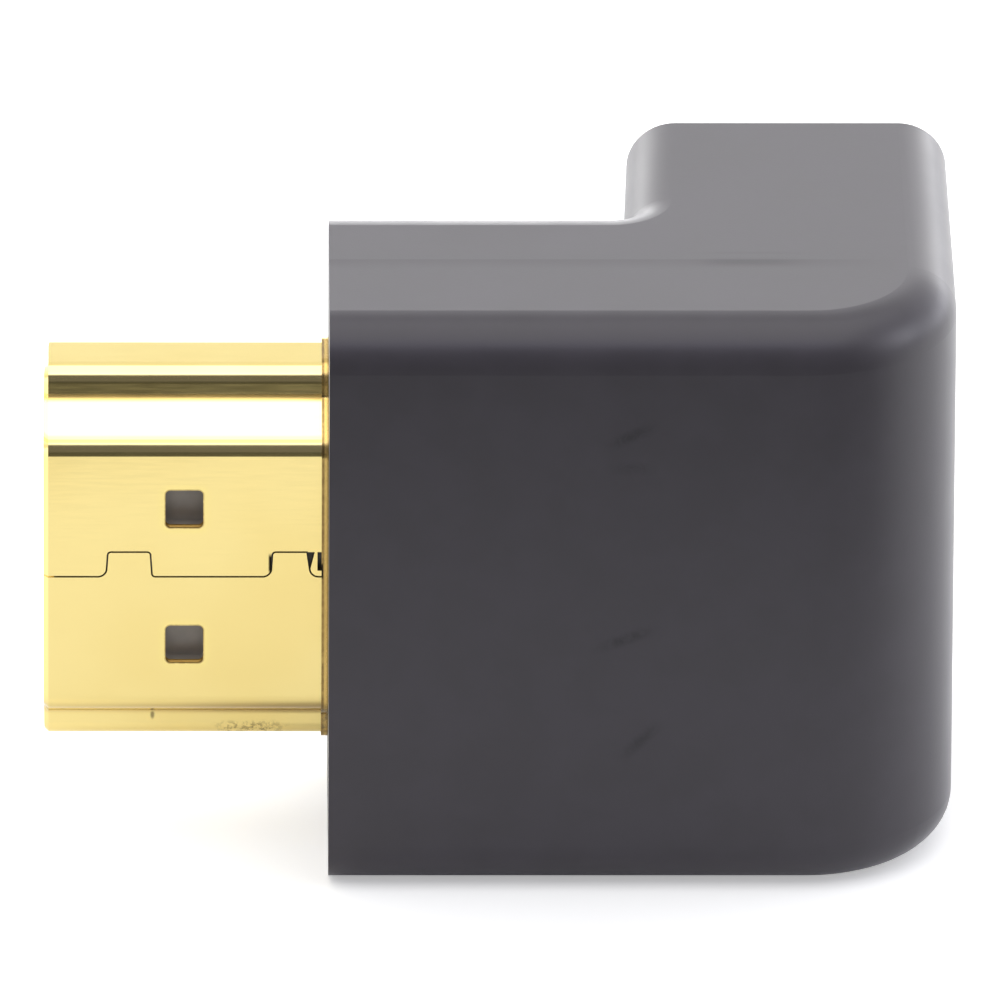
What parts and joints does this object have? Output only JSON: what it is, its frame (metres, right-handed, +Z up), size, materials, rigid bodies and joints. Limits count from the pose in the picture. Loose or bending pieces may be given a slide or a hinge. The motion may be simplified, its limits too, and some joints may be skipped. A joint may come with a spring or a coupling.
{
  "type": "right angle hdmi adapter",
  "caption": "Right-angle audio and video adapter: a gold-plated plug on one leg of a dark grey moulded L and the matching socket at the end of the other.",
  "frame": {"origin": "on the plug's axis, in the plane of the shoulder that the plug stands out of", "axes": "-X along the plug toward its tip, +Y out of the socket, +Z up across both connectors' width"},
  "size_m": [0.0309, 0.0165, 0.021],
  "materials": {
    "housing_plastic": "dark grey, satin moulded",
    "inner_plastic": "natural, unseen",
    "gold_plate": "bright pale gold plating",
    "insulator_plastic": "black, moulded",
    "contact_plate": "bright gold plating",
    "board_laminate": "green lacquer, unseen"
  },
  "bodies": {
    "root": {"outer_housing": "housing_plastic", "inner_mould": "inner_plastic", "plug_shell": "gold_plate", "plug_rear_sleeve": "gold_plate", "plug_insulator": "insulator_plastic", "circuit_board": "board_laminate", "socket_shell": "gold_plate", "socket_insulator": "insulator_plastic", "plug_contact_01": "contact_plate", "plug_contact_02": "contact_plate", "plug_contact_03": "contact_plate", "plug_contact_04": "contact_plate", "plug_contact_05": "contact_plate", "plug_contact_06": "contact_plate", "plug_contact_07": "contact_plate", "plug_contact_08": "contact_plate", "plug_contact_09": "contact_plate", "plug_contact_10": "contact_plate", "plug_contact_11": "contact_plate", "plug_contact_12": "contact_plate", "plug_contact_13": "contact_plate", "plug_contact_14": "contact_plate", "plug_contact_15": "contact_plate", "plug_contact_16": "contact_plate", "plug_contact_17": "contact_plate", "plug_contact_18": "contact_plate", "plug_contact_19": "contact_plate", "socket_contact_01": "contact_plate", "socket_contact_02": "contact_plate", "socket_contact_03": "contact_plate", "socket_contact_04": "contact_plate", "socket_contact_05": "contact_plate", "socket_contact_06": "contact_plate", "socket_contact_07": "contact_plate", "socket_contact_08": "contact_plate", "socket_contact_09": "contact_plate", "socket_contact_10": "contact_plate", "socket_contact_11": "contact_plate", "socket_contact_12": "contact_plate", "socket_contact_13": "contact_plate", "socket_contact_14": "contact_plate", "socket_contact_15": "contact_plate", "socket_contact_16": "contact_plate", "socket_contact_17": "contact_plate", "socket_contact_18": "contact_plate", "socket_contact_19": "contact_plate"}
  },
  "joints": []
}
